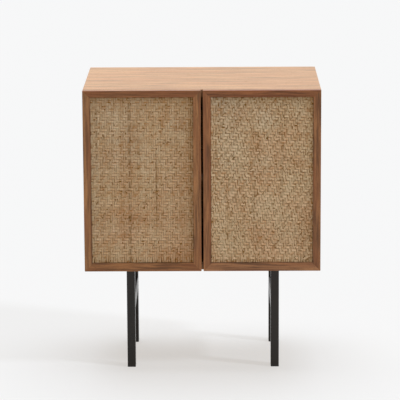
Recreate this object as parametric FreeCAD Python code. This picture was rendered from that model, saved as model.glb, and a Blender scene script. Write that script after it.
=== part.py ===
import FreeCAD, Part
import os

# Side cabinet with two cane doors on two tubular leg frames, in millimetres.
# X runs along the width, the doors face -Y, Z is up from the floor, and the origin is
# on the floor under the middle of the outline. The left half is modelled and mirrored.

# Overall sizes
cabinet_width = 570.0
cabinet_depth = 380.0
cabinet_height = 700.0
leg_height = 258.0

# Case of four mitred panels with a back panel in a rebate
panel_thickness = 18.0
case_edge_round = 1.0
back_thickness = 5.0
back_rebate_width = 9.0
back_clearance = 0.5
spline_thickness = 4.0
spline_width = 14.0
spline_setback = 22.0
spline_clearance = 0.1

# Shelf on pins, with rows of holes for other heights
shelf_thickness = 16.0
shelf_level = 195.0
shelf_end_clearance = 1.0
shelf_front_setback = 22.0
shelf_back_gap = 3.0
shelf_pin_radius = 2.5
shelf_pin_depth = 9.0
shelf_pin_inset = 55.0
shelf_hole_spacing = 32.0
shelf_holes_each_way = 2
shelf_lug_length = 9.0
shelf_lug_width = 10.0
shelf_lug_height = 6.0
pin_hole_clearance = 0.1
pin_hole_end_room = 1.0

# Leg frames of rectangular tube
tube_width = 20.0
tube_depth = 30.0
tube_wall = 1.5
tube_corner_radius = 2.0
leg_side_inset = 98.5
leg_front_inset = 48.5
rail_height = 30.0
rail_top_level = 171.0
plate_thickness = 4.0
plate_width = 44.0
plate_screw_end = 60.0
plate_screw_side = 16.0
glide_thickness = 3.0
glide_plug_length = 15.0
glide_plug_clearance = 0.2

# Doors: mitred frames with a recess in the face for the cane on its backing
door_thickness = 16.0
door_case_gap = 2.0
door_centre_gap = 5.0
door_edge_round = 1.0
frame_face_width = 18.5
frame_ledge_width = 21.5
recess_depth = 5.0
recess_lift = 2.5
backing_thickness = 2.5
cane_thickness = 1.5
panel_clearance = 1.0
door_spline_thickness = 3.0
door_spline_length = 24.0
door_spline_width = 16.0

# Hinges: the knuckle lies in a notch in the back outer corner of the door
hinge_height = 50.0
hinge_end_distance = 60.0
hinge_axis_from_side = 4.5
hinge_axis_from_door_back = 5.0
hinge_pin_radius = 1.5
knuckle_radius = 3.5
case_knuckle_length = 20.0
knuckle_end_gap = 0.2
leaf_thickness = 1.2
leaf_web_thickness = 2.0
case_leaf_margin = 1.5
door_leaf_width = 24.0
leaf_screw_end = 8.0
press_fit = 0.01
running_fit = 0.05
notch_clearance = 0.7
notch_end_clearance = 0.5
mortise_clearance = 0.2

# Push latches under the top panel
latch_from_centre = 60.0
latch_width = 16.0
latch_height = 14.0
latch_length = 62.0
latch_setback = 1.0
latch_ear_length = 10.0
latch_ear_depth = 14.0
latch_ear_thickness = 3.0
plunger_radius = 3.5
plunger_length = 50.0
plunger_tip_round = 0.8
plunger_clearance = 0.1
plunger_bore_depth = 58.0
strike_radius = 8.0
strike_thickness = 1.0
strike_gap = 0.3

# Countersunk screws: radius of the shank, and length from the head's face to the tip
small_screw_radius = 1.5
small_screw_head_radius = 3.0
case_hinge_screw_length = 14.0
door_screw_cover = 2.0
back_screw_length = 14.0
latch_screw_length = 13.0
leg_screw_radius = 2.25
leg_screw_head_radius = 4.5
leg_screw_length = 16.0
screw_clearance = 0.1

# Places worked out from the sizes above
half_width = cabinet_width / 2
front_y = -cabinet_depth / 2
back_y = cabinet_depth / 2
door_back_y = front_y + door_thickness
case_front_y = door_back_y + door_case_gap
inner_half_width = half_width - panel_thickness
floor_z = leg_height + panel_thickness
ceiling_z = cabinet_height - panel_thickness
back_face_y = back_y - back_thickness
case_x = (-half_width, half_width)
case_y = (case_front_y, back_y)
case_z = (leg_height, cabinet_height)
door_x = (-half_width, -door_centre_gap / 2)
door_y = (front_y, door_back_y)
door_z = (leg_height, cabinet_height)
member_width = frame_face_width + frame_ledge_width
recess_floor_y = front_y + recess_depth
hinge_x = -half_width + hinge_axis_from_side
hinge_y = door_back_y - hinge_axis_from_door_back
hinge_levels = {
    "upper": cabinet_height - hinge_end_distance - hinge_height,
    "lower": leg_height + hinge_end_distance,
}
shelf_pin_z = floor_z + shelf_level
shelf_pin_rows = (case_front_y + shelf_pin_inset, back_face_y - shelf_pin_inset)

along_x = FreeCAD.Vector(1, 0, 0)
along_y = FreeCAD.Vector(0, 1, 0)
along_z = FreeCAD.Vector(0, 0, 1)
overshoot = 1.0
parallel_tolerance = 0.01


def box(x_range, y_range, z_range):
    size = [high - low for low, high in (x_range, y_range, z_range)]
    corner = FreeCAD.Vector(x_range[0], y_range[0], z_range[0])
    return Part.makeBox(size[0], size[1], size[2], corner)


def prism(outline_xz, y_range):
    points = [FreeCAD.Vector(x, y_range[0], z) for x, z in outline_xz]
    face = Part.Face(Part.makePolygon(points + points[:1]))
    return face.extrude(along_y * (y_range[1] - y_range[0]))


def cylinder(radius, length, start, direction):
    return Part.makeCylinder(radius, length, start, direction)


def joined(shapes):
    return shapes[0].multiFuse(shapes[1:]).removeSplitter()


def mirrored(shape):
    return shape.mirror(FreeCAD.Vector(0, 0, 0), along_x)


def both_sides(shapes):
    return shapes + [mirrored(shape) for shape in shapes]


def export(name, shape):
    shape.exportStep("parts/" + name + ".step")
    print(name, len(shape.Solids), "solids,", round(shape.Volume / 1000, 2), "cm3")


def export_group(name, solids):
    export(name, Part.makeCompound(solids))


def export_pair(name, shape):
    export("left_" + name, shape)
    export("right_" + name, mirrored(shape))


def screw_shape(head_radius, shank_radius, length, head_point, direction):
    head_height = head_radius - shank_radius
    head = Part.makeCone(head_radius, shank_radius, head_height, head_point, direction)
    return joined([head, cylinder(shank_radius, length, head_point, direction)])


def screws(points, head_radius, shank_radius, length, direction):
    # Screws with their heads' faces on the given points, and the holes that they go into.
    sizes = [head_radius, shank_radius, length]
    hole_sizes = [size + screw_clearance for size in sizes]
    solids = [screw_shape(*sizes, point, direction) for point in points]
    holes = [screw_shape(*hole_sizes, point, direction) for point in points]
    return solids, holes


def tilted_plate(sizes, centre, tilt):
    plate = Part.makeBox(*sizes, FreeCAD.Vector(*sizes) * -0.5)
    plate.rotate(FreeCAD.Vector(0, 0, 0), along_y, tilt)
    plate.translate(centre)
    return plate


def inset_range(span, distance):
    return span[0] + distance, span[1] - distance


def rectangle_corners(x_range, z_range):
    (x0, x1), (z0, z1) = x_range, z_range
    return [(x0, z0), (x1, z0), (x1, z1), (x0, z1)]


def mitred_members(ring, x_range, y_range, z_range, width):
    # Cuts a rectangular ring into four members that meet on the 45 degree planes of its corners.
    outer = rectangle_corners(inset_range(x_range, -overshoot), inset_range(z_range, -overshoot))
    inner = rectangle_corners(inset_range(x_range, width), inset_range(z_range, width))
    members = {}
    for index, name in enumerate(("bottom", "right", "top", "left")):
        after = (index + 1) % 4
        wedge = prism([outer[index], outer[after], inner[after], inner[index]], y_range)
        members[name] = ring.common(wedge)
    return members


def build_case_members():
    block = box(case_x, case_y, case_z)
    block = block.makeFillet(case_edge_round, block.Edges)
    inside = box(
        inset_range(case_x, panel_thickness),
        inset_range(case_y, -overshoot),
        inset_range(case_z, panel_thickness),
    )
    ledge = panel_thickness - back_rebate_width
    rebate = box(
        inset_range(case_x, ledge), (back_face_y, back_y + overshoot), inset_range(case_z, ledge)
    )
    return mitred_members(block.cut([inside, rebate]), case_x, case_y, case_z, panel_thickness)


def build_corner_splines():
    # Each tongue crosses the middle of a mitre, square to it.
    y_range = inset_range((case_front_y, back_face_y), spline_setback)
    sizes = [spline_width, y_range[1] - y_range[0], spline_thickness]
    groove_sizes = [size + 2 * spline_clearance for size in sizes]
    splines = []
    grooves = []
    half_panel = panel_thickness / 2
    corners = rectangle_corners(inset_range(case_x, half_panel), inset_range(case_z, half_panel))
    for (x, z), tilt in zip(corners, (45, -45, 45, -45)):
        centre = FreeCAD.Vector(x, sum(y_range) / 2, z)
        splines.append(tilted_plate(sizes, centre, tilt))
        grooves.append(tilted_plate(groove_sizes, centre, tilt))
    return splines, grooves


def build_back_panel():
    inset = panel_thickness - back_rebate_width + back_clearance
    return box(inset_range(case_x, inset), (back_face_y, back_y), inset_range(case_z, inset))


def build_back_screws():
    # Three screws along the top and bottom and two up each side, in the middle of the rebate.
    inset = panel_thickness - back_rebate_width / 2
    edge_x = half_width - inset
    low, high = inset_range(case_z, inset)
    third = (high - low) / 3
    places = [(x, z) for x in (-edge_x / 2, 0, edge_x / 2) for z in (low, high)]
    places += [(x, low + step * third) for x in (-edge_x, edge_x) for step in (1, 2)]
    points = [FreeCAD.Vector(x, back_y, z) for x, z in places]
    return screws(points, small_screw_head_radius, small_screw_radius, back_screw_length, -along_y)


def build_shelf():
    half = inner_half_width - shelf_end_clearance
    underside = shelf_pin_z + shelf_lug_height / 2
    y_range = (case_front_y + shelf_front_setback, back_face_y - shelf_back_gap)
    return box((-half, half), y_range, (underside, underside + shelf_thickness))


def build_shelf_pins():
    pins = []
    for y in shelf_pin_rows:
        start = FreeCAD.Vector(-inner_half_width - shelf_pin_depth, y, shelf_pin_z)
        peg = cylinder(shelf_pin_radius, shelf_pin_depth, start, along_x)
        lug = box(
            (-inner_half_width, -inner_half_width + shelf_lug_length),
            (y - shelf_lug_width / 2, y + shelf_lug_width / 2),
            (shelf_pin_z - shelf_lug_height / 2, shelf_pin_z + shelf_lug_height / 2),
        )
        pins.append(joined([peg, lug]))
    return both_sides(pins)


def shelf_pin_holes():
    radius = shelf_pin_radius + pin_hole_clearance
    depth = shelf_pin_depth + pin_hole_end_room
    holes = []
    for y in shelf_pin_rows:
        for step in range(-shelf_holes_each_way, shelf_holes_each_way + 1):
            start = FreeCAD.Vector(-inner_half_width - depth, y, shelf_pin_z + step * shelf_hole_spacing)
            holes.append(cylinder(radius, depth, start, along_x))
    return holes


def edges_along(shape, direction):
    return [edge for edge in shape.Edges if edge.tangentAt(0).cross(direction).Length < parallel_tolerance]


def rounded_tube(x_range, y_range, z_range, run):
    # Rectangular tube along the given axis, with rounded corners outside and inside.
    solid = box(x_range, y_range, z_range)
    ranges = [x_range, y_range, z_range]
    for axis, span in enumerate(ranges):
        ranges[axis] = inset_range(span, -overshoot if run[axis] else tube_wall)
    hollow = box(*ranges)
    solid = solid.makeFillet(tube_corner_radius, edges_along(solid, run))
    inner_radius = tube_corner_radius - tube_wall
    if inner_radius > 0:
        hollow = hollow.makeFillet(inner_radius, edges_along(hollow, run))
    return solid.cut(hollow)


def leg_frame_places():
    x_range = (-half_width + leg_side_inset, -half_width + leg_side_inset + tube_width)
    y_start = case_front_y + leg_front_inset
    y_end = back_y - leg_front_inset
    return x_range, (y_start, y_start + tube_depth), (y_end - tube_depth, y_end)


def build_leg(x_range, y_range):
    return rounded_tube(x_range, y_range, (glide_thickness, leg_height - plate_thickness), along_z)


def build_glide(x_range, y_range):
    foot = box(x_range, y_range, (0, glide_thickness))
    foot = foot.makeFillet(tube_corner_radius, edges_along(foot, along_z))
    inset = tube_wall + glide_plug_clearance
    plug = box(
        inset_range(x_range, inset),
        inset_range(y_range, inset),
        (glide_thickness, glide_thickness + glide_plug_length),
    )
    return joined([foot, plug])


def build_side_rail(x_range, front_leg_y, rear_leg_y):
    z_range = (rail_top_level - rail_height, rail_top_level)
    return rounded_tube(x_range, (front_leg_y[1], rear_leg_y[0]), z_range, along_y)


def build_mounting_plate(x_range, front_leg_y, rear_leg_y):
    centre_x = sum(x_range) / 2
    plate = box(
        (centre_x - plate_width / 2, centre_x + plate_width / 2),
        (front_leg_y[0], rear_leg_y[1]),
        (leg_height - plate_thickness, leg_height),
    )
    points = [
        FreeCAD.Vector(centre_x + side * plate_screw_side, y, leg_height - plate_thickness)
        for side in (-1, 1)
        for y in (front_leg_y[0] + plate_screw_end, rear_leg_y[1] - plate_screw_end)
    ]
    solids, holes = screws(points, leg_screw_head_radius, leg_screw_radius, leg_screw_length, along_z)
    return plate.cut(holes), solids, holes


def recess_ranges():
    # The recess lies a little above the middle of the frame.
    z_range = inset_range(door_z, frame_face_width)
    return inset_range(door_x, frame_face_width), tuple(level + recess_lift for level in z_range)


def build_door_members():
    block = box(door_x, door_y, door_z)
    block = block.makeFillet(door_edge_round, block.Edges)
    recess_x, recess_z = recess_ranges()
    recess = box(recess_x, (front_y - overshoot, recess_floor_y), recess_z)
    through = box(
        inset_range(door_x, member_width), inset_range(door_y, -overshoot), inset_range(door_z, member_width)
    )
    return mitred_members(block.cut([recess, through]), door_x, door_y, door_z, member_width)


def build_door_splines():
    # Each tongue lies in the thickness of the frame behind the recess, along the middle of a mitre.
    sizes = [door_spline_length, door_spline_thickness, door_spline_width]
    groove_sizes = [size + 2 * spline_clearance for size in sizes]
    middle_y = (recess_floor_y + door_back_y) / 2
    splines = []
    grooves = []
    corners = rectangle_corners(inset_range(door_x, member_width / 2), inset_range(door_z, member_width / 2))
    for (x, z), tilt in zip(corners, (-45, 45, -45, 45)):
        centre = FreeCAD.Vector(x, middle_y, z)
        splines.append(tilted_plate(sizes, centre, tilt))
        grooves.append(tilted_plate(groove_sizes, centre, tilt))
    return splines, grooves


def build_door_sheet(y_range):
    recess_x, recess_z = recess_ranges()
    return box(inset_range(recess_x, panel_clearance), y_range, inset_range(recess_z, panel_clearance))


def case_knuckle_span(base):
    return inset_range((base, base + hinge_height), (hinge_height - case_knuckle_length) / 2)


def door_knuckle_spans(base):
    low, high = inset_range(case_knuckle_span(base), -knuckle_end_gap)
    return (base, low), (high, base + hinge_height)


def knuckle(span):
    start = FreeCAD.Vector(hinge_x, hinge_y, span[0])
    return cylinder(knuckle_radius, span[1] - span[0], start, along_z)


def pin_bore(base, fit):
    start = FreeCAD.Vector(hinge_x, hinge_y, base - overshoot)
    return cylinder(hinge_pin_radius + fit, hinge_height + 2 * overshoot, start, along_z)


def build_hinge_pin(base):
    return cylinder(hinge_pin_radius, hinge_height, FreeCAD.Vector(hinge_x, hinge_y, base), along_z)


def leaf_screw_levels(base):
    return base + leaf_screw_end, base + hinge_height - leaf_screw_end


def build_case_leaf(base):
    case_span = case_knuckle_span(base)
    wall_y = hinge_y + (hinge_pin_radius + knuckle_radius) / 2
    web_x = (hinge_x - leaf_web_thickness / 2, hinge_x + leaf_web_thickness / 2)
    leaf_end_x = -inner_half_width - case_leaf_margin
    leaf_y = (case_front_y - leaf_thickness, case_front_y)
    plate = box((web_x[0], leaf_end_x), leaf_y, (base, base + hinge_height))
    web = box(web_x, (wall_y, case_front_y), case_span)
    solid = joined([plate, web, knuckle(case_span)]).cut(pin_bore(base, press_fit))
    screw_x = (web_x[1] + leaf_end_x) / 2
    points = [FreeCAD.Vector(screw_x, leaf_y[0], z) for z in leaf_screw_levels(base)]
    head_radius = small_screw_radius + leaf_thickness
    solids, holes = screws(points, head_radius, small_screw_radius, case_hinge_screw_length, along_y)
    return solid.cut(holes), solids, holes


def build_door_leaf(base):
    wall_y = hinge_y + (hinge_pin_radius + knuckle_radius) / 2
    plate_start_x = hinge_x + knuckle_radius + notch_clearance + mortise_clearance
    leaf_end_x = hinge_x + door_leaf_width
    leaf_y = (door_back_y - leaf_thickness, door_back_y)
    pieces = [box((plate_start_x, leaf_end_x), leaf_y, (base, base + hinge_height))]
    for span in door_knuckle_spans(base):
        pieces.append(box((hinge_x, plate_start_x), leaf_y, span))
        pieces.append(box((hinge_x, hinge_x + knuckle_radius), (wall_y, door_back_y), span))
        pieces.append(knuckle(span))
    solid = joined(pieces).cut(pin_bore(base, running_fit))
    screw_x = (plate_start_x + leaf_end_x) / 2
    points = [FreeCAD.Vector(screw_x, door_back_y, z) for z in leaf_screw_levels(base)]
    head_radius = small_screw_radius + leaf_thickness
    length = door_thickness - recess_depth - door_screw_cover
    solids, holes = screws(points, head_radius, small_screw_radius, length, -along_y)
    return solid.cut(holes), solids, holes


def hinge_seat(base):
    # Notch for the knuckles and mortise for the leaf, cut from the outer stile.
    reach = knuckle_radius + notch_clearance
    z_range = inset_range((base, base + hinge_height), -notch_end_clearance)
    notch = box(
        (-half_width - overshoot, hinge_x + reach), (hinge_y - reach, door_back_y + overshoot), z_range
    )
    mortise = box(
        (hinge_x, hinge_x + door_leaf_width + mortise_clearance),
        (door_back_y - leaf_thickness, door_back_y + overshoot),
        inset_range((base, base + hinge_height), -mortise_clearance),
    )
    return [notch, mortise]


def plunger_axis(y):
    return FreeCAD.Vector(-latch_from_centre, y, ceiling_z - latch_height / 2)


def build_latch_housing():
    front = case_front_y + latch_setback
    x_range = (-latch_from_centre - latch_width / 2, -latch_from_centre + latch_width / 2)
    body = box(x_range, (front, front + latch_length), (ceiling_z - latch_height, ceiling_z))
    ear_y = front + latch_length / 2
    ears = box(
        inset_range(x_range, -latch_ear_length),
        (ear_y - latch_ear_depth / 2, ear_y + latch_ear_depth / 2),
        (ceiling_z - latch_ear_thickness, ceiling_z),
    )
    bore_radius = plunger_radius + plunger_clearance
    bore = cylinder(bore_radius, plunger_bore_depth + overshoot, plunger_axis(front - overshoot), along_y)
    points = [
        FreeCAD.Vector(x, ear_y, ceiling_z - latch_ear_thickness)
        for x in (x_range[0] - latch_ear_length / 2, x_range[1] + latch_ear_length / 2)
    ]
    solids, holes = screws(points, small_screw_head_radius, small_screw_radius, latch_screw_length, along_z)
    return joined([body, ears]).cut([bore] + holes), solids, holes


def build_latch_plunger():
    tip_y = door_back_y + strike_thickness + strike_gap
    rod = cylinder(plunger_radius, plunger_length, plunger_axis(tip_y), along_y)
    tip = [edge for edge in rod.Edges if edge.BoundBox.YMax < tip_y + plunger_tip_round]
    return rod.makeFillet(plunger_tip_round, tip)


def build_strike_plate():
    return cylinder(strike_radius, strike_thickness, plunger_axis(door_back_y), along_y)


def make_leg_frames():
    x_range, front_leg_y, rear_leg_y = leg_frame_places()
    for name, y_range in (("front", front_leg_y), ("rear", rear_leg_y)):
        export_pair(name + "_leg", build_leg(x_range, y_range))
        export_pair(name + "_glide", build_glide(x_range, y_range))
    export_pair("side_rail", build_side_rail(x_range, front_leg_y, rear_leg_y))
    plate, solids, holes = build_mounting_plate(x_range, front_leg_y, rear_leg_y)
    export_pair("mounting_plate", plate)
    export_group("leg_screws", both_sides(solids))
    return both_sides(holes)


def make_hinges():
    case_screws = []
    case_holes = []
    door_screws = []
    door_cuts = []
    for name, base in hinge_levels.items():
        leaf, solids, holes = build_case_leaf(base)
        case_screws += solids
        case_holes += holes
        export_pair(name + "_hinge_case_leaf", leaf)
        export_pair(name + "_hinge_pin", build_hinge_pin(base))
        leaf, solids, holes = build_door_leaf(base)
        door_screws += solids
        door_cuts += holes + hinge_seat(base)
        export_pair(name + "_hinge_door_leaf", leaf)
    export_group("hinge_case_screws", both_sides(case_screws))
    export_pair("door_screws", Part.makeCompound(door_screws))
    return case_holes, door_cuts


def make_doors(hinge_cuts):
    splines, grooves = build_door_splines()
    members = build_door_members()
    names = {"left": "outer_stile", "right": "inner_stile", "top": "top_rail", "bottom": "bottom_rail"}
    for side, name in names.items():
        cuts = grooves + (hinge_cuts if side == "left" else [])
        export_pair("door_" + name, members[side].cut(cuts))
    export_pair("door_mitre_splines", Part.makeCompound(splines))
    backing_face_y = recess_floor_y - backing_thickness
    export_pair("door_backing", build_door_sheet((backing_face_y, recess_floor_y)))
    export_pair("door_cane", build_door_sheet((backing_face_y - cane_thickness, backing_face_y)))
    export_pair("door_strike_plate", build_strike_plate())


def make_latches():
    housing, solids, holes = build_latch_housing()
    export_pair("latch_housing", housing)
    export_pair("latch_plunger", build_latch_plunger())
    export_group("latch_screws", both_sides(solids))
    return both_sides(holes)


def make_case(hinge_holes, leg_holes, latch_holes):
    members = build_case_members()
    splines, grooves = build_corner_splines()
    back_screws, back_holes = build_back_screws()
    export("top_panel", members["top"].cut(grooves + back_holes + latch_holes))
    export("bottom_panel", members["bottom"].cut(grooves + back_holes + leg_holes))
    side_cuts = grooves + back_holes + shelf_pin_holes() + hinge_holes
    export_pair("side_panel", members["left"].cut(side_cuts))
    export_group("corner_splines", splines)
    export("back_panel", build_back_panel().cut(back_holes))
    export_group("back_panel_screws", back_screws)
    export("shelf", build_shelf())
    export_group("shelf_pins", build_shelf_pins())


os.makedirs("parts", exist_ok=True)
leg_holes = make_leg_frames()
hinge_case_holes, hinge_door_cuts = make_hinges()
make_doors(hinge_door_cuts)
latch_holes = make_latches()
make_case(hinge_case_holes, leg_holes, latch_holes)
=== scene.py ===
import bpy
import math
import numpy as np
from mathutils import Matrix, Vector


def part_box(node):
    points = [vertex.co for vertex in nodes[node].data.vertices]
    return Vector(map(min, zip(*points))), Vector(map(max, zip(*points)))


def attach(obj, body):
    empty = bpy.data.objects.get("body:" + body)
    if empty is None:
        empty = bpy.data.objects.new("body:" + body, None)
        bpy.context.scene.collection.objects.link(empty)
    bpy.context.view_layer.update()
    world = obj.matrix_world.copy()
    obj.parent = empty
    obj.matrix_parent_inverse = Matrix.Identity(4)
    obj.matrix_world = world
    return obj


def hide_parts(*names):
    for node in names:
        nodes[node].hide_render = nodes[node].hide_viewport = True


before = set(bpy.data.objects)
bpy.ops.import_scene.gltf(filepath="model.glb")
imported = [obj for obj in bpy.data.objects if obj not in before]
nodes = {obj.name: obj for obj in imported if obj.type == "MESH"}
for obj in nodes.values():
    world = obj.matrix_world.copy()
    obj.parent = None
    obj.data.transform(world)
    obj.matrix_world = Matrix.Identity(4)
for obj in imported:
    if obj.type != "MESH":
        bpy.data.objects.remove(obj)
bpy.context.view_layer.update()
sides = ("left", "right")
print("frame loaded:", len(nodes), "nodes")


# Camera at the photograph's viewpoint.
viewpoint = {
    "place": (0.03491, -5.74383, 1.58636),  # metres
    "yaw": 0.00725,  # radians
    "pitch": 0.20459,
    "roll": 0.00518,
    "lens": 212.38,  # millimetres
    "sensor": 36.0,
}


# The view axis starts along +Y, is turned to the left by yaw and tipped down by pitch, and the frame is
# then rolled clockwise about that axis. Right, up and backwards are the columns of the camera's turn.
def makeCamera(spec):
    yaw, pitch, roll = spec["yaw"], spec["pitch"], spec["roll"]
    flat = math.cos(pitch)
    ahead = Vector((-math.sin(yaw) * flat, math.cos(yaw) * flat, -math.sin(pitch)))
    level = Vector((math.cos(yaw), math.sin(yaw), 0))
    upright = level.cross(ahead)
    right = level * math.cos(roll) - upright * math.sin(roll)
    up = upright * math.cos(roll) + level * math.sin(roll)
    camera = bpy.data.objects.new("camera", bpy.data.cameras.new("camera"))
    camera.data.lens = spec["lens"]
    camera.data.sensor_width = spec["sensor"]
    turn = Matrix((right, up, -ahead)).transposed().to_4x4()
    camera.matrix_world = Matrix.Translation(Vector(spec["place"])) @ turn
    bpy.context.scene.collection.objects.link(camera)
    bpy.context.scene.camera = camera


makeCamera(viewpoint)
bpy.context.scene.view_settings.view_transform = "Standard"
print("camera placed")


# Helpers for node trees. A value that is a socket is linked, and any other value is typed in.
def feed(tree, socket, value):
    if isinstance(value, bpy.types.NodeSocket):
        tree.links.new(value, socket)
    else:
        socket.default_value = value


# A new node, with its settings made first and its inputs fed after them.
def putNode(tree, kind, inputs=None, **settings):
    node = tree.nodes.new(kind)
    for key, value in settings.items():
        setattr(node, key, value)
    for key, value in (inputs or {}).items():
        feed(tree, node.inputs[key], value)
    return node


# The operation on two values.
def doMath(tree, operation, first, second):
    return putNode(tree, "ShaderNodeMath", {0: first, 1: second}, operation=operation).outputs[0]


# The base plus the value times its weight.
def addShare(tree, base, value, weight):
    return doMath(tree, "ADD", base, doMath(tree, "MULTIPLY", value, weight))


# A value from 0..1, moved to lie around zero and to reach this far from end to end.
def centred(tree, value, reach):
    return doMath(tree, "MULTIPLY", doMath(tree, "SUBTRACT", value, 0.5), reach)


# The first colour, going over into the second by this share, or into its blend with the second.
def mixColour(tree, share, first, second, blend="MIX"):
    inputs = {0: share, 6: first, 7: second}  # the node's sockets for colours
    return putNode(tree, "ShaderNodeMix", inputs, data_type="RGBA", blend_type=blend).outputs[2]


# Coordinates times a scale along each axis.
def stretch(tree, vector, scale):
    return putNode(tree, "ShaderNodeMapping", {"Vector": vector, "Scale": scale}).outputs[0]


# Noise at the given scale along each axis, spread so that low..high fills 0..1.
def spreadNoise(tree, vector, scale, detail=2.0, low=0.32, high=0.68):
    inputs = {"Vector": stretch(tree, vector, scale), "Scale": 1.0, "Detail": detail}
    noise = putNode(tree, "ShaderNodeTexNoise", inputs).outputs[0]
    spread = {"Value": noise, "From Min": low, "From Max": high}
    return putNode(tree, "ShaderNodeMapRange", spread).outputs[0]


# The piece's own coordinates, in metres.
def objectCoords(tree):
    return putNode(tree, "ShaderNodeTexCoord").outputs["Object"]


# An empty group with the given inputs, and with the three outputs that every finish here has.
def startGroup(name, inputs):
    group = bpy.data.node_groups.new(name, "ShaderNodeTree")
    outputs = {"Color": "Color", "Roughness": "Float", "Height": "Float"}
    for direction, sockets in (("INPUT", inputs), ("OUTPUT", outputs)):
        for key, kind in sockets.items():
            group.interface.new_socket(key, in_out=direction, socket_type="NodeSocket" + kind)
    entry = group.nodes.new("NodeGroupInput")
    leave = group.nodes.new("NodeGroupOutput")
    return group, entry.outputs, leave.inputs


# The group's three outputs, linked.
def endGroup(group, leave, colour, rough, height):
    for key, value in (("Color", colour), ("Roughness", rough), ("Height", height)):
        group.links.new(value, leave[key])
    return group


# A material with the numbers that are the same all over it set on its shader.
def startMaterial(name, sockets):
    material = bpy.data.materials.new(name)
    material.use_nodes = True
    shader = material.node_tree.nodes["Principled BSDF"]
    for key, value in sockets.items():
        shader.inputs[key].default_value = value
    return material, material.node_tree, shader


# A finish's colour and roughness go straight to the shader, and its height goes there as a bump.
def joinFinish(tree, shader, finish, spec):
    tree.links.new(finish.outputs["Color"], shader.inputs["Base Color"])
    tree.links.new(finish.outputs["Roughness"], shader.inputs["Roughness"])
    relief = {"Strength": spec["bump"], "Distance": spec["bumpDepth"], "Height": finish.outputs["Height"]}
    tree.links.new(putNode(tree, "ShaderNodeBump", relief).outputs[0], shader.inputs["Normal"])


# The material in place of what the node came with.
def dress(name, material):
    mesh = nodes[name].data
    mesh.materials.clear()
    mesh.materials.append(material)


# Studio: an even floor and world, a broad lamp above and slightly behind, and a key lamp from the right.
studio = {
    "floorReach": 25.0,  # metres from the middle to an edge
    "paleLevel": 0.93,  # background as the camera sees it
    "floorPaint": (0.645, 0.69, 0.741, 1),
    "floorWarmth": (0.965, 0.93, 0.892, 1),  # colour of the glow, which is left in the deepest shadow
    "floorGlow": 0.62,  # share of the seen floor that does not depend on the lamps
    "floorBounce": (0.59, 0.59, 0.59, 1),  # floor colour that lights the object
    "worldLight": (0.215, 0.200, 0.187, 1),
    "lampTint": (0.98, 1.0, 1.015),
    "lamps": {
        # degrees round from the front to the right, degrees up, level on a facing white, degrees wide
        "overheadLamp": (170, 78, 0.95, 50),
        "keyLamp": (69, 36, 0.40, 7),
    },
}


# One where the camera, a reflection or clear glass looks at the surface, zero where it lights the object.
def seenMask(tree):
    path = putNode(tree, "ShaderNodeLightPath").outputs
    direct = doMath(tree, "MAXIMUM", path["Is Camera Ray"], path["Is Glossy Ray"])
    return doMath(tree, "MAXIMUM", direct, path["Is Transmission Ray"])


# Where the floor is seen, lit paint mixed with a steady glow. Elsewhere the bounce colour alone, and
# clear from below.
def floorMaterial(spec):
    material = bpy.data.materials.new("floorPaint")
    material.use_nodes = True
    tree = material.node_tree
    tree.nodes.remove(tree.nodes["Principled BSDF"])
    seen = seenMask(tree)
    paint = mixColour(tree, seen, spec["floorBounce"], spec["floorPaint"])
    lit = putNode(tree, "ShaderNodeBsdfDiffuse", {"Color": paint})
    glow = putNode(tree, "ShaderNodeEmission", {"Color": spec["floorWarmth"]})
    share = doMath(tree, "MULTIPLY", seen, spec["floorGlow"])
    top = putNode(tree, "ShaderNodeMixShader", {0: share, 1: lit.outputs[0], 2: glow.outputs[0]})
    below = putNode(tree, "ShaderNodeNewGeometry").outputs["Backfacing"]
    clear = putNode(tree, "ShaderNodeBsdfTransparent")
    whole = putNode(tree, "ShaderNodeMixShader", {0: below, 1: top.outputs[0], 2: clear.outputs[0]})
    tree.links.new(whole.outputs[0], tree.nodes["Material Output"].inputs["Surface"])
    return material


# One square at height zero, from minus the reach to plus the reach.
def makeFloor(spec):
    corners = np.array([(-1, -1, 0), (1, -1, 0), (1, 1, 0), (-1, 1, 0)]) * spec["floorReach"]
    mesh = bpy.data.meshes.new("floor")
    mesh.from_pydata(corners, [], [(0, 1, 2, 3)])
    mesh.materials.append(floorMaterial(spec))
    floor = bpy.data.objects.new("floor", mesh)
    bpy.context.scene.collection.objects.link(floor)


# The pale level where the world is seen, and its own light's colour elsewhere.
def makeWorld(spec):
    world = bpy.data.worlds.new("studioWorld")
    world.use_nodes = True
    tree = world.node_tree
    pale = spec["paleLevel"]
    colour = mixColour(tree, seenMask(tree), spec["worldLight"], (pale, pale, pale, 1))
    tree.links.new(colour, tree.nodes["Background"].inputs["Color"])
    bpy.context.scene.world = world


# Suns, each shining from the direction that its angles give.
def makeLamps(spec):
    for name, (around, upward, level, width) in spec["lamps"].items():
        turn, rise = math.radians(around), math.radians(upward)
        flat = math.cos(rise)
        toLamp = Vector((math.sin(turn) * flat, -math.cos(turn) * flat, math.sin(rise)))
        lamp = bpy.data.objects.new(name, bpy.data.lights.new(name, "SUN"))
        lamp.data.energy = level * math.pi  # a facing white surface then renders at this level
        lamp.data.angle = math.radians(width)
        lamp.data.color = spec["lampTint"]
        lamp.rotation_mode = "QUATERNION"
        lamp.rotation_quaternion = toLamp.to_track_quat("Z", "Y")
        bpy.context.scene.collection.objects.link(lamp)


makeFloor(studio)
makeWorld(studio)
makeLamps(studio)
print("studio lit")


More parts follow.
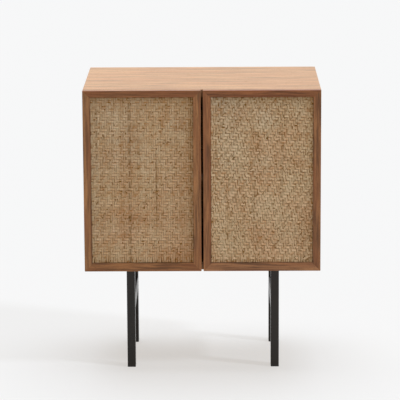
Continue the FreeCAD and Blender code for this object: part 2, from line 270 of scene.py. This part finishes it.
# Veneer figure.
veneer = {
    # noises: cells per metre along and across the grain, detail, and the range that is spread over 0..1
    "drift": {"scale": (1.1, 7, 7), "detail": 1.0},
    "rings": {"scale": (4.0, 105, 1), "detail": 3.0, "low": 0.37, "high": 0.63},
    "bands": {"scale": (6, 34, 34), "low": 0.37, "high": 0.63},
    "fibre": {"scale": (16, 250, 250), "detail": 3.0, "low": 0.39, "high": 0.61},
    "pores": {"scale": (150, 1500, 1500), "detail": 1.0, "low": 0.60, "high": 0.70},
    "patches": {"scale": (7, 60, 60), "detail": 1.0, "low": 0.45, "high": 0.62},
    "bend": 0.03,  # metres by which the drift moves a ring
    "ringShare": 0.36,  # of the tone, as the next two
    "bandShare": 0.22,
    "fibreShare": 0.42,
    "leastTone": 0.24,
    "blushShare": 0.5,  # of the blush colour in a patch
    "poreShare": 0.45,  # of the dark colour in a pore
    "rough": 0.30,
    "poreRough": 0.14,  # added in a pore
    "fibreHeight": 0.35,  # of a pore's depth
}


# X runs along the grain. Growth rings are a noise over the distance across the grain, bent by a slow
# drift, bands and fibres are noises drawn out along the grain, and pores are the peaks of a finer one.
# The tone is a weighted sum of rings, bands and fibres.
def buildVeneerGrain():
    inputs = {"Vector": "Vector", "Pale": "Color", "Dark": "Color", "Blush": "Color"}
    group, entry, leave = startGroup("veneerGrain", inputs)
    place = entry["Vector"]
    drift = spreadNoise(group, place, **veneer["drift"])
    parts = putNode(group, "ShaderNodeSeparateXYZ", {0: place}).outputs
    across = doMath(group, "ADD", parts["Y"], parts["Z"])
    bent = addShare(group, across, drift, veneer["bend"])
    ringPlace = putNode(group, "ShaderNodeCombineXYZ", {"X": parts["X"], "Y": bent}).outputs[0]
    rings = spreadNoise(group, ringPlace, **veneer["rings"])
    bands = spreadNoise(group, place, **veneer["bands"])
    fibre = spreadNoise(group, place, **veneer["fibre"])
    pores = spreadNoise(group, place, **veneer["pores"])
    patches = spreadNoise(group, place, **veneer["patches"])
    tone = doMath(group, "MULTIPLY", rings, veneer["ringShare"])
    tone = addShare(group, tone, bands, veneer["bandShare"])
    tone = addShare(group, tone, fibre, veneer["fibreShare"])
    tone = doMath(group, "MAXIMUM", tone, veneer["leastTone"])
    colour = mixColour(group, tone, entry["Dark"], entry["Pale"])
    blush = doMath(group, "MULTIPLY", patches, veneer["blushShare"])
    colour = mixColour(group, blush, colour, entry["Blush"])
    dark = doMath(group, "MULTIPLY", pores, veneer["poreShare"])
    colour = mixColour(group, dark, colour, entry["Dark"])
    rough = addShare(group, veneer["rough"], pores, veneer["poreRough"])
    height = doMath(group, "SUBTRACT", doMath(group, "MULTIPLY", fibre, veneer["fibreHeight"]), pores)
    return endGroup(group, leave, colour, rough, height)


veneerGrain = buildVeneerGrain()
wood = {
    # case boards: paler and yellower than the frames' wood, in part a painted sheen for the brighter light
    # on the top
    "case": {
        "pale": (0.72, 0.395, 0.170, 1), "dark": (0.19, 0.085, 0.028, 1), "blush": (0.50, 0.225, 0.087, 1),
    },
    "frame": {
        "pale": (0.58, 0.255, 0.094, 1), "dark": (0.085, 0.031, 0.010, 1), "blush": (0.36, 0.122, 0.040, 1),
    },
    "run": {"top": 0.8, "case": 0.4, "frame": 1.0},  # the smaller, the longer the figure along the grain
    # door boards whose colours are multiplied by these: darker stock, some redder and some cooler. The
    # top rails' darker tints are also painted shade, for the weaker light from below high on the doors
    "tintsAndShade": {
        "left_door_top_rail": (0.80, 0.73, 0.68, 1),
        "right_door_top_rail": (0.80, 0.67, 0.60, 1),
        "left_door_outer_stile": (0.85, 0.89, 0.92, 1),
        "left_door_inner_stile": (0.93, 0.95, 0.96, 1),
        "right_door_inner_stile": (0.88, 0.83, 0.83, 1),
        "right_door_outer_stile": (0.83, 0.82, 0.85, 1),
        "left_door_bottom_rail": (0.87, 0.85, 0.80, 1),
        "right_door_bottom_rail": (0.85, 0.87, 0.99, 1),
    },
    "plainTint": (1, 1, 1, 1),
    "shift": (0.37, 0.211, 0.093),  # metres in the veneer from one board to the next
    "varnish": 1.36,  # index of refraction
    "bump": 0.25,
    "bumpDepth": 0.00015,
}


# Every board gets its own stretch of veneer: the grain is turned to the board and moved along and across.
def veneerBoard(name, palette, turn, run, number):
    material, tree, shader = startMaterial("veneer_" + name, {"IOR": wood["varnish"]})
    shift = [step * number for step in wood["shift"]]
    place = {"Vector": objectCoords(tree), "Rotation": turn, "Location": shift}
    placed = putNode(tree, "ShaderNodeMapping", place).outputs[0]
    inputs = {key.capitalize(): colour for key, colour in palette.items()}
    inputs["Vector"] = stretch(tree, placed, (run, 1, 1))
    finish = putNode(tree, "ShaderNodeGroup", inputs, node_tree=veneerGrain)
    joinFinish(tree, shader, finish, wood)
    return material


alongX = (0, 0, 0)
alongZ = (0, math.pi / 2, 0)  # turns +Z onto the grain's X
boards = {
    "top_panel": alongX,
    "bottom_panel": alongX,
    "left_side_panel": alongZ,
    "right_side_panel": alongZ,
    "shelf": alongX,
    "back_panel": alongX,
    "corner_splines": alongX,
}
doorBoards = {
    "outer_stile": alongZ,
    "inner_stile": alongZ,
    "top_rail": alongX,
    "bottom_rail": alongX,
    "mitre_splines": alongX,
}
for side in sides:
    boards.update({f"{side}_door_{name}": turn for name, turn in doorBoards.items()})
for number, (name, turn) in enumerate(boards.items(), start=1):
    stock = "frame" if "_door_" in name else "case"
    tint = np.array(wood["tintsAndShade"].get(name, wood["plainTint"]))
    palette = {key: tint * colour for key, colour in wood[stock].items()}
    run = wood["run"]["top" if name == "top_panel" else stock]
    dress(name, veneerBoard(name, palette, turn, run, number))
print("veneer on", len(boards), "boards")


# Grit on paint, cast plastic, plated steel and bare board.
grit = {
    "fine": {"scale": (1, 1, 1)},  # of the finish's own grain
    "slow": {"scale": (14, 14, 14), "detail": 3.0},  # cells per metre
    "fineShare": 0.4,  # of the tone, as the next
    "slowShare": 0.6,
    "roughReach": 0.16,  # from the smoothest place to the roughest
}


# The tone is a weighted sum of a noise at the finish's grain and a slow one. It runs from base to worn
# colour, and the roughness swings with it.
def buildFineGrit():
    inputs = {"Vector": "Vector", "Grain": "Float", "Base": "Color", "Worn": "Color", "Rough": "Float"}
    group, entry, leave = startGroup("fineGrit", inputs)
    scaling = {0: entry["Vector"], "Scale": entry["Grain"]}
    scaled = putNode(group, "ShaderNodeVectorMath", scaling, operation="SCALE").outputs[0]
    fine = spreadNoise(group, scaled, **grit["fine"])
    slow = spreadNoise(group, entry["Vector"], **grit["slow"])
    tone = addShare(group, doMath(group, "MULTIPLY", fine, grit["fineShare"]), slow, grit["slowShare"])
    colour = mixColour(group, tone, entry["Base"], entry["Worn"])
    rough = doMath(group, "ADD", entry["Rough"], centred(group, tone, grit["roughReach"]))
    return endGroup(group, leave, colour, rough, fine)


fineGrit = buildFineGrit()
# "on" lists the endings of the nodes' names, and grain is in cells per metre.
hardware = {
    "powderCoat": {
        "on": ("_leg", "_side_rail", "_mounting_plate"),
        "base": (0.0140, 0.0108, 0.0082, 1), "worn": (0.0270, 0.0210, 0.0158, 1), "grain": 1600.0,
        "rough": 0.32, "bump": 0.22, "bumpDepth": 0.00012, "metallic": 0.0, "ior": 1.38,
    },
    "zincPlate": {
        "on": ("_leaf", "_pin", "_pins", "_screws", "_strike_plate"),
        "base": (0.52, 0.52, 0.53, 1), "worn": (0.66, 0.66, 0.65, 1), "grain": 900.0,
        "rough": 0.34, "bump": 0.06, "bumpDepth": 0.00005, "metallic": 1.0, "ior": 1.5,
    },
    "latchPlastic": {
        "on": ("_latch_housing", "_latch_plunger"),
        "base": (0.075, 0.076, 0.080, 1), "worn": (0.105, 0.106, 0.110, 1), "grain": 1200.0,
        "rough": 0.52, "bump": 0.15, "bumpDepth": 0.0001, "metallic": 0.0, "ior": 1.46,
    },
    "glidePlastic": {
        "on": ("_glide",),
        "base": (0.012, 0.012, 0.012, 1), "worn": (0.026, 0.025, 0.024, 1), "grain": 1000.0,
        "rough": 0.55, "bump": 0.15, "bumpDepth": 0.0001, "metallic": 0.0, "ior": 1.46,
    },
    "backingBoard": {
        "on": ("_door_backing",),
        "base": (0.052, 0.024, 0.009, 1), "worn": (0.080, 0.038, 0.014, 1), "grain": 700.0,
        "rough": 0.7, "bump": 0.15, "bumpDepth": 0.0001, "metallic": 0.0, "ior": 1.4,
    },
}


# The finish's own values in the grit group.
def grittyMaterial(name, spec):
    material, tree, shader = startMaterial(name, {"Metallic": spec["metallic"], "IOR": spec["ior"]})
    inputs = {key.capitalize(): spec[key] for key in ("base", "worn", "grain", "rough")}
    inputs["Vector"] = objectCoords(tree)
    finish = putNode(tree, "ShaderNodeGroup", inputs, node_tree=fineGrit)
    joinFinish(tree, shader, finish, spec)
    return material


for finishName, spec in hardware.items():
    material = grittyMaterial(finishName, spec)
    for name in nodes:
        if name.endswith(spec["on"]):
            dress(name, material)
print("hardware finished")


# Cane fibre.
cane = {
    "pale": (0.890, 0.684, 0.433, 1),
    "dark": (0.60, 0.320, 0.138, 1),
    "red": (1.0, 0.84, 0.81, 1),  # stains, which multiply the strand's colour
    "cool": (0.93, 1.03, 1.20, 1),
    "deep": (0.205, 0.082, 0.004, 1),  # in full shade
    # noises: streaks in cells per metre along the strand and cells round it, the others per metre
    "streaks": {"scale": (60, 9, 1)},
    "redPatches": {"scale": (14, 14, 14)},
    "coolPatches": {"scale": (10, 10, 10)},
    "columns": {"scale": (45, 45, 7)},
    "spots": {"scale": (160, 160, 160), "detail": 1.0, "low": 0.62, "high": 0.72},
    "streakTone": 0.35,  # from the darkest place to the palest, as the next two
    "columnTone": 0.28,
    "redTone": -0.20,  # darker where it is redder
    "redReach": 0.5,  # of the stain, from the weakest place to the strongest
    "redMiddle": 0.10,
    "coolReach": 0.5,
    "spotShare": 0.35,  # of the dark colour in a spot
    "rough": 0.42,
    "streakRough": 0.15,  # added in a streak
    "ior": 1.4,
    "specular": 0.1,
    "bump": 0.3,
    "bumpDepth": 0.0001,
}


# The strand's own tone, moved by streaks along it, by columns of paler and darker strands and by red
# patches, runs from dark to pale. A red and a cool stain, in slow patches that also follow the warmth,
# multiply that colour, small spots darken it, and the strand's shade takes it to the deep colour.
def buildCaneFibre():
    values = {key: "Float" for key in ("Tone", "Shade", "Warmth")}
    colours = {key: "Color" for key in ("Pale", "Dark", "Red", "Cool", "Deep")}
    inputs = {"Vector": "Vector", "Strand": "Vector", **values, **colours}
    group, entry, leave = startGroup("caneFibre", inputs)
    streaks = spreadNoise(group, entry["Strand"], **cane["streaks"])
    redPatches = spreadNoise(group, entry["Vector"], **cane["redPatches"])
    coolPatches = spreadNoise(group, entry["Vector"], **cane["coolPatches"])
    columns = spreadNoise(group, entry["Vector"], **cane["columns"])
    spots = spreadNoise(group, entry["Vector"], **cane["spots"])
    tone = doMath(group, "ADD", entry["Tone"], centred(group, streaks, cane["streakTone"]))
    tone = doMath(group, "ADD", tone, centred(group, redPatches, cane["redTone"]))
    tone = doMath(group, "ADD", tone, centred(group, columns, cane["columnTone"]))
    red = doMath(group, "ADD", entry["Warmth"], centred(group, redPatches, cane["redReach"]))
    red = doMath(group, "ADD", red, cane["redMiddle"])
    cool = doMath(group, "SUBTRACT", centred(group, coolPatches, cane["coolReach"]), entry["Warmth"])
    colour = mixColour(group, tone, entry["Dark"], entry["Pale"])
    colour = mixColour(group, red, colour, entry["Red"], "MULTIPLY")
    colour = mixColour(group, cool, colour, entry["Cool"], "MULTIPLY")
    colour = mixColour(group, doMath(group, "MULTIPLY", spots, cane["spotShare"]), colour, entry["Dark"])
    colour = mixColour(group, entry["Shade"], colour, entry["Deep"])
    rough = addShare(group, cane["rough"], streaks, cane["streakRough"])
    return endGroup(group, leave, colour, rough, streaks)


caneFibre = buildCaneFibre()


# The strands' own map and attributes in the fibre group.
def caneMaterial():
    sockets = {"IOR": cane["ior"], "Specular IOR Level": cane["specular"]}
    material, tree, shader = startMaterial("wovenCane", sockets)
    inputs = {key.capitalize(): cane[key] for key in ("pale", "dark", "red", "cool", "deep")}
    inputs["Vector"] = objectCoords(tree)
    inputs["Strand"] = putNode(tree, "ShaderNodeUVMap", uv_map="strandMap").outputs[0]
    for key in ("Tone", "Shade", "Warmth"):
        inputs[key] = putNode(tree, "ShaderNodeAttribute", attribute_name="strand" + key).outputs["Fac"]
    finish = putNode(tree, "ShaderNodeGroup", inputs, node_tree=caneFibre)
    joinFinish(tree, shader, finish, cane)
    return material


# Woven cane: pairs of flat strands in a twill, each pair over two crossing pairs and under the next two,
# one step further on in every row. Lengths are in metres, and tones and shades run from 0 to 1.
weave = {
    "both": {
        "seed": 41,
        "floatPairs": 2,  # crossing pairs that a pair runs over, and then under
        "slitShare": 0.01,  # of a pitch, between the two strands of a pair
        "strandThickness": 0.00050,
        # a strand's section, point by point round it: share of the half width, and of the half thickness
        "sectionAcross": (-1.0, -0.55, 0.55, 1.0, 0.55, -0.55),
        "sectionOff": (0.0, 1.0, 1.0, 0.0, -1.0, -1.0),
        "flatShare": 0.34,  # part of a pitch on each side of a crossing where a strand lies level
        "levelDip": 0.85,  # share of the rise that is left where a strand starts to dive
        "placeJitter": 0.00015,
        "widthJitter": 0.06,  # share of a strand's width
        "wander": 0.00016,  # sideways, along each strand
        "wanderLength": (0.022, 0.07),  # shortest and longest wave of it
        "spread": 0.0009,  # past the sheet's edges, up to the frame
        "spreadBelow": 0.0007,
        "endJitter": 0.0013,  # most by which a strand stops short of the frame
        "fringeShade": (0.0, 0.95),  # least and added, between the pairs of the fringe at the bottom edge
        "fringeTone": 0.25,  # spread of tone there
        "fringeSplay": 0.0006,  # sideways, at the ends of the strands there
        "toneSpread": 0.11,  # from one strand to the next
        "toneDrift": 0.12,  # along each strand
        "driftLength": 0.11,
        "underShade": 0.95,  # below a crossing pair
        "besideStart": 0.4,  # share of the half width where the shade on an outer edge starts
        "fleckShade": (0.45, 1.0),  # least and most, on rings that are much darker than the rest
        "openPush": 0.02,  # how far to each side an open place moves strands, and shades them
        "openShade": 0.0022,
        "swayAcrossWaves": (0.7, 2.1),  # of the sheet's sway across, over its width and its height
        "swayUpWaves": 1.3,  # of its sway up, over its width
        "swayUpStart": 0.4,  # radians
        "slantFade": 0.12,  # share of the sheet, next to each edge, where strands follow the frame
        "mapStep": 0.731,  # along the streaks, from one strand to the next
    },
    "left": {
        "pairPitch": (0.00552, 0.00690),  # across the sheet and up it
        "uprightShare": 0.430,  # width of a strand, as a share of the pair's pitch
        "levelShare": 0.445,
        "fringeRows": 2,  # crossings at the bottom edge where all upright strands lie on top
        "toneMiddle": 0.565,
        "floatSpread": 0.04,  # tone from one float to the next
        "crossingSpread": 0.14,  # tone from one ring to the next
        "uprightTone": 0.05,  # added to upright strands and taken from level ones
        # the next two are painted highlights
        "levelHighlight": 0.0,  # tone added to the first crossing of a level float
        "uprightHighlight": 0.0,  # tone added along the second strand of an upright pair
        # least and added shade at the ends of a float, next to a hole and elsewhere
        "holeShade": (0.0, 0.50),
        "endShade": (0.0, 0.40),
        "levelEndShare": 0.1,  # of these two, on level strands
        # shade halfway along a float, on the two strands of an upright pair and of a level pair
        "middleShade": ((0.24, 0.24), (0.13, 0.13)),
        # shade on a level pair's outer edges: by a hole, by a crossing float's end and by a pair on top
        "besideShade": (0.38, 0.28, 0.36),
        "uprightBesideShare": 0.1,  # of these three, on upright strands
        "fleckShare": 0.045,  # of all rings
        "warmLean": 0.55,  # redder to the lower right corner, cooler to the upper left
        "sway": (0.0004, 0.0003),  # how far the whole sheet wanders, across and up
        "slant": 0.0,  # turn of the weave in its frame, clockwise, in radians
        # open places between pairs: share across the sheet and up it, half length there, width, shade
        "openPlaces": (
            (0.376, 0.40, 1.2, 0.0016, 0.55),
            (0.638, 0.46, 0.2, 0.0014, 0.45),
            (0.972, 0.60, 0.5, 0.0008, 0.30),
            (0.056, 0.80, 0.3, 0.0010, 0.30),
        ),
        # painted shadow of the frame on the sheet, deepest at its edges: shade at the edge, reach
        "frameShadow": {
            "left": (0.27, 0.009), "right": (0.42, 0.021), "bottom": (0.22, 0.009), "top": (0.55, 0.011),
        },
    },
    "right": {
        "pairPitch": (0.00524, 0.00692),
        "uprightShare": 0.465,
        "levelShare": 0.470,
        "fringeRows": 1,
        "toneMiddle": 0.73,
        "floatSpread": 0.08,
        "crossingSpread": 0.16,
        "uprightTone": 0.03,
        "levelHighlight": 0.15,
        "uprightHighlight": 0.12,
        "holeShade": (0.28, 0.50),
        "endShade": (0.0, 0.10),
        "levelEndShare": 0.0,
        "middleShade": ((0.46, 0.16), (0.06, 0.06)),
        "besideShade": (0.75, 0.24, 0.52),
        "uprightBesideShare": 0.0,
        "fleckShare": 0.085,
        "warmLean": 0.30,
        "sway": (0.0006, 0.0004),
        "slant": 0.022,
        "openPlaces": (
            (0.42, 0.35, 0.25, 0.0006, 0.30),
            (0.70, 0.60, 0.3, 0.0006, 0.25),
        ),
        "frameShadow": {
            "left": (0.00, 0.008), "right": (0.48, 0.012), "bottom": (0.20, 0.006), "top": (0.60, 0.014),
        },
    },
}


# One sheet's values, with its box grown up to the frame and its pairs counted.
def sheetSpec(side):
    spec = {**weave["both"], **weave[side]}
    low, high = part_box(f"{side}_door_cane")
    low = low - Vector((spec["spread"], 0, spec["spreadBelow"]))
    high = high + Vector((spec["spread"], 0, spec["spread"]))
    pitchAcross, pitchUp = spec["pairPitch"]
    spec["low"] = low
    spec["middle"] = (low.y + high.y) / 2
    spec["width"] = high.x - low.x
    spec["height"] = high.z - low.z
    spec["rise"] = (high.y - low.y - spec["strandThickness"]) / 2
    spec["pairs"] = (round(spec["width"] / pitchAcross), round(spec["height"] / pitchUp))
    spec["fringeRings"] = 1 + 2 * spec["fringeRows"]  # one at the strand's end and two at each crossing
    return spec


# Plus one where the upright pair lies on top and minus one where the level pair does, by pair across and
# pair up: the step between the two counts, over the length of a repeat, is in its first half.
def twillSigns(spec):
    pairsAcross, pairsUp = spec["pairs"]
    step = np.arange(pairsAcross)[:, None] - np.arange(pairsUp)
    sign = np.where(step % (2 * spec["floatPairs"]) < spec["floatPairs"], 1.0, -1.0)
    sign[:, :spec["fringeRows"]] = 1.0
    return sign


# Centre lines of the strands, as arrays of strand by ring: two strands beside the middle of each pair,
# with two rings at each crossing and one at each end. Every strand wanders sideways on a sine of its own.
def strandLines(spec, pairs, crossings, share, pitch, crossPitch, length, rng):
    strands = 2 * pairs
    half = (share + spec["slitShare"]) * pitch / 2
    across = (np.arange(strands) // 2 + 0.5) * pitch + np.where(np.arange(strands) % 2, half, -half)
    across = across + rng.normal(0, spec["placeJitter"], strands)
    step = np.array((-spec["flatShare"], spec["flatShare"]))
    along = ((np.arange(crossings)[:, None] + 0.5 + step) * crossPitch).ravel()
    starts = rng.random((strands, 1)) * spec["endJitter"]
    ends = length - rng.random((strands, 1)) * spec["endJitter"]
    along = np.concatenate((starts, np.tile(along, (strands, 1)), ends), axis=1)
    turns = 2 * math.pi / rng.uniform(*spec["wanderLength"], (strands, 1))
    phase = rng.random((strands, 1)) * 2 * math.pi
    return across[:, None] + spec["wander"] * np.sin(along * turns + phase), along


# What the strands do at their crossings, as arrays of strand by ring. The centre line lies at +rise where
# sign says over and at -rise where it says under, and dips at the rings where sign is about to change.
# Painted shade lies below crossing pairs, at the ends and middles of floats and on the pairs' outer edges,
# deepest at two of a float's four corners, as if holes opened there: one end of the first strand, the other
# end of the second. Painted highlights lighten parts of the floats.
def crossingRows(spec, sign, upright, rng):
    neighbour = np.stack((np.roll(sign, 1, axis=0), np.roll(sign, -1, axis=0)), axis=1)
    neighbour = neighbour.reshape(-1, sign.shape[1])
    sign = np.repeat(sign, 2, axis=0)
    strands, crossings = sign.shape
    second = np.arange(strands) % 2
    change = np.zeros((strands, crossings + 1), bool)
    change[:, 1:-1] = sign[:, 1:] != sign[:, :-1]
    dives = np.stack((change[:, :-1], change[:, 1:]), axis=-1)
    holeShadeCorner = (second[:, None, None] == np.arange(2)) != upright
    deep = rng.random((strands, crossings, 2))
    (holeLeast, holeAdded), (endLeast, endAdded) = spec["holeShade"], spec["endShade"]
    ending = np.where(holeShadeCorner, holeLeast + holeAdded * deep, endLeast + endAdded * deep)
    ending = ending * (1.0 if upright else spec["levelEndShare"])
    middle = np.array(spec["middleShade"][0 if upright else 1])[second][:, None, None]
    besideHole, besideEnd, besidePair = spec["besideShade"]
    beside = np.where(neighbour[:, :, None] > 0, besidePair, np.where(holeShadeCorner, besideHole, besideEnd))
    # painted highlights, to which a random tone is added at each crossing
    if upright:
        highlightAndTone = spec["uprightHighlight"] * second[:, None, None] * ~dives
    else:
        highlightAndTone = spec["levelHighlight"] * change[:, :-1, None]
    rows = {
        "lift": sign[:, :, None] * np.where(dives, spec["levelDip"], 1.0) * spec["rise"],
        "shade": np.where(sign[:, :, None] > 0, np.where(dives, ending, middle), spec["underShade"]),
        "beside": beside * (spec["uprightBesideShare"] if upright else 1.0),
        "highlightAndTone": highlightAndTone + rng.normal(0, spec["crossingSpread"], (strands, crossings, 2)),
        "floatNumber": np.repeat(np.cumsum(change[:, :-1], axis=1), 2, axis=1),
    }
    toEnds = ((0, 0), (1, 1))
    return {key: np.pad(part.reshape(strands, -1), toEnds, mode="edge") for key, part in rows.items()}


# The sheet's own wander. Open places push the strands on both sides apart, the sway is a slow sine that
# dies out at the edges, and the slant is a turn about the middle that straightens next to the edges.
def sheetShift(spec, x, z):
    width, height = spec["width"], spec["height"]
    shareAcross, shareUp = x / width, z / height
    shiftAcross = np.zeros_like(x)
    for place, level, reach, gap, _ in spec["openPlaces"]:
        fromPlace = np.abs(shareAcross - place) * width / spec["openPush"]
        near = np.exp(-fromPlace - ((shareUp - level) / reach) ** 2)
        shiftAcross += np.sign(shareAcross - place) * near * gap / 2
    fade = 16 * shareAcross * (1 - shareAcross) * shareUp * (1 - shareUp)  # one in the sheet's middle
    (swayAcross, swayUp), (wavesAcross, wavesUp) = spec["sway"], spec["swayAcrossWaves"]
    waves = shareUp * wavesUp + shareAcross * wavesAcross
    shiftAcross += swayAcross * np.sin(2 * math.pi * waves) * fade
    turn = 2 * math.pi * shareAcross * spec["swayUpWaves"] + spec["swayUpStart"]
    shiftUp = swayUp * np.sin(turn) * fade
    fadeAcross = np.clip(np.minimum(shareAcross, 1 - shareAcross) / spec["slantFade"], 0, 1)
    fadeUp = np.clip(np.minimum(shareUp, 1 - shareUp) / spec["slantFade"], 0, 1)
    shiftAcross += spec["slant"] * (shareUp - 0.5) * height * fadeAcross
    shiftUp -= spec["slant"] * (shareAcross - 0.5) * width * fadeUp
    return shiftAcross, shiftUp


# The lines moved with the sheet, and splayed pair by pair at the fringe. Strands stop at the frame, so the
# first and last of them keep half their width inside it.
def settleLines(spec, x, z, strandWidth, upright, rng):
    shiftX, shiftZ = sheetShift(spec, x, z)
    if upright:
        fringe = spec["fringeRings"]
        splay = np.repeat(rng.normal(0, spec["fringeSplay"], len(x) // 2), 2)
        shiftX[:, :fringe] += splay[:, None] * np.linspace(1, 0, fringe, endpoint=False)
    room = strandWidth[:, None] / 2
    roomX, roomZ = room * upright, room * (not upright)
    x = np.clip(x + shiftX, roomX, spec["width"] - roomX)
    z = np.clip(z + shiftZ, roomZ, spec["height"] - roomZ)
    return x, z


# Points of the tubes round the lines, by strand, ring and corner: the lens section stands square to the
# line's slope, with its width across the strand.
def tubePoints(spec, x, z, lift, strandWidth, upright):
    run, cross = (z, x) if upright else (x, z)
    runStep, liftStep = np.gradient(run, axis=1), np.gradient(lift, axis=1)
    size = np.hypot(runStep, liftStep)
    offRun = -liftStep / size * spec["strandThickness"] / 2
    offLift = runStep / size * spec["strandThickness"] / 2
    sectionOff = np.array(spec["sectionOff"])
    run = run[:, :, None] + offRun[:, :, None] * sectionOff
    lift = lift[:, :, None] + offLift[:, :, None] * sectionOff
    cross = cross[:, :, None] + np.array(spec["sectionAcross"]) * strandWidth[:, None, None] / 2
    x, z = (cross, run) if upright else (run, cross)
    low = spec["low"]
    return np.stack((low.x + x, spec["middle"] - lift, low.z + z), axis=-1)


# Faces of the tubes: walls from ring to ring and corner to corner, and two halves that close each end.
# Level tubes have run and cross in each other's place, which mirrors them, so their faces are turned back.
def tubeFaces(strands, rings, corners, upright):
    index = np.arange(strands * rings * corners).reshape(strands, rings, corners)
    after = np.roll(index, -1, axis=2)
    walls = np.stack((index[:, :-1], after[:, :-1], after[:, 1:], index[:, 1:]), axis=-1).reshape(-1, 4)
    first, last = index[:, 0], index[:, -1]
    startCaps = np.concatenate((first[:, [3, 2, 1, 0]], first[:, [5, 4, 3, 0]]))
    endCaps = np.concatenate((last[:, [0, 1, 2, 3]], last[:, [0, 3, 4, 5]]))
    faces = np.concatenate((walls, startCaps, endCaps))
    return faces if upright else faces[:, ::-1]


# Tone of each ring: the strand's own, a slow sine along it, the float's own, and at the crossing a random
# tone and a painted highlight.
def strandTones(spec, rows, along, upright, rng):
    kindTone = spec["uprightTone"] * (1 if upright else -1)
    tone = spec["toneMiddle"] + kindTone + rng.normal(0, spec["toneSpread"], (len(along), 1))
    phase = rng.random((len(along), 1)) * 2 * math.pi
    tone = tone + spec["toneDrift"] * np.sin(along * 2 * math.pi / spec["driftLength"] + phase)
    floatTone = rng.normal(0, spec["floatSpread"], along.shape)
    return tone + np.take_along_axis(floatTone, rows["floatNumber"], axis=1) + rows["highlightAndTone"]


# Shade of each ring: the crossing's own or a fleck's, whichever is deeper. Near open places and towards the
# edges, a share of the light that is left goes as well.
def strandShades(spec, rows, x, z, rng):
    width, height = spec["width"], spec["height"]
    flecks = rng.uniform(*spec["fleckShade"], x.shape)
    flecks = flecks * (rng.random(x.shape) < spec["fleckShare"])
    shade = np.maximum(rows["shade"], flecks)
    for place, level, reach, _, amount in spec["openPlaces"]:
        fromPlace = (x - place * width) / spec["openShade"]
        near = np.exp(-fromPlace ** 2 - ((z / height - level) / reach) ** 2)
        shade = shade + (1 - shade) * amount * near
    # painted shadow of the frame, towards the sheet's edges
    fromEdge = {"left": x, "right": width - x, "bottom": z, "top": height - z}
    for edge, (amount, reach) in spec["frameShadow"].items():
        shade = shade + (1 - shade) * amount * np.exp(-fromEdge[edge] / reach)
    return shade


# Looks by strand, ring and corner: the tone, the shade, which is deeper on the outer edges of each pair,
# and the warmth, a slope over the sheet. The fringe has edges and tones of its own.
def strandLooks(spec, rows, along, x, z, upright, rng):
    strands = len(along)
    tone = strandTones(spec, rows, along, upright, rng)
    shade = strandShades(spec, rows, x, z, rng)[:, :, None]
    beside = rows["beside"]
    if upright:
        fringe = spec["fringeRings"]
        least, added = spec["fringeShade"]
        beside[:, :fringe] = least + added * rng.random((strands, fringe))
        tone[:, :fringe] += rng.normal(0, spec["fringeTone"], (strands, fringe))
    outward = np.where(np.arange(strands) % 2, 1, -1)[:, None, None] * np.array(spec["sectionAcross"])
    onEdge = np.clip((outward - spec["besideStart"]) / (1 - spec["besideStart"]), 0, 1)
    warmth = spec["warmLean"] * (x / spec["width"] - z / spec["height"])
    return {
        "strandTone": tone[:, :, None],
        "strandShade": shade + (1 - shade) * beside[:, :, None] * onEdge,
        "strandWarmth": warmth[:, :, None],
    }


# The strands' own map, point by point: U runs along each strand and moves on from strand to strand, and V
# runs round it.
def mapStrands(spec, along, corners):
    mapAlong = along + np.arange(len(along))[:, None] * spec["mapStep"]
    mapRound = np.arange(corners) / corners
    return np.stack(np.broadcast_arrays(mapAlong[:, :, None], mapRound), axis=-1).reshape(-1, 2)


# A piece of tubes, with one value of each look at every point, and the map at every corner of a face.
def strandPiece(name, points, faces, looks, strandMap, material):
    mesh = bpy.data.meshes.new(name)
    mesh.from_pydata(points.reshape(-1, 3), [], faces)
    mesh.shade_smooth()
    for key, values in looks.items():
        everywhere = np.broadcast_to(values, points.shape[:3]).ravel()
        mesh.attributes.new(key, "FLOAT", "POINT").data.foreach_set("value", everywhere)
    mesh.uv_layers.new(name="strandMap").data.foreach_set("uv", strandMap[faces.ravel()].ravel())
    mesh.materials.append(material)
    piece = bpy.data.objects.new(name, mesh)
    bpy.context.scene.collection.objects.link(piece)
    print(name, len(mesh.polygons), "faces")
    return piece


# One direction of strands on one sheet: their lines run up the sheet where upright and across it otherwise,
# settle in it, and become tubes.
def weaveSheet(side, upright, material, rng):
    spec = sheetSpec(side)
    pairsAcross, pairsUp = spec["pairs"]
    kind, sign, length = "upright", twillSigns(spec), spec["height"]
    pitch, crossPitch = spec["width"] / pairsAcross, spec["height"] / pairsUp
    if not upright:
        kind, sign, length = "level", -sign.T, spec["width"]
        pitch, crossPitch = crossPitch, pitch
    share = spec[kind + "Share"]
    across, along = strandLines(spec, *sign.shape, share, pitch, crossPitch, length, rng)
    rows = crossingRows(spec, sign, upright, rng)
    strandWidth = share * pitch * (1 + rng.normal(0, spec["widthJitter"], len(along)))
    x, z = (across, along) if upright else (along, across)
    x, z = settleLines(spec, x, z, strandWidth, upright, rng)
    points = tubePoints(spec, x, z, rows["lift"], strandWidth, upright)
    strands, rings, corners = points.shape[:3]
    faces = tubeFaces(strands, rings, corners, upright)
    looks = strandLooks(spec, rows, along, x, z, upright, rng)
    strandMap = mapStrands(spec, along, corners)
    piece = strandPiece(f"{side}_cane_{kind}_strands", points, faces, looks, strandMap, material)
    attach(piece, f"{side}_door")
    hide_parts(f"{side}_door_cane")


wovenCane = caneMaterial()
caneDraws = np.random.default_rng(weave["both"]["seed"])
for side in sides:
    for upright in (True, False):
        weaveSheet(side, upright, wovenCane, caneDraws)
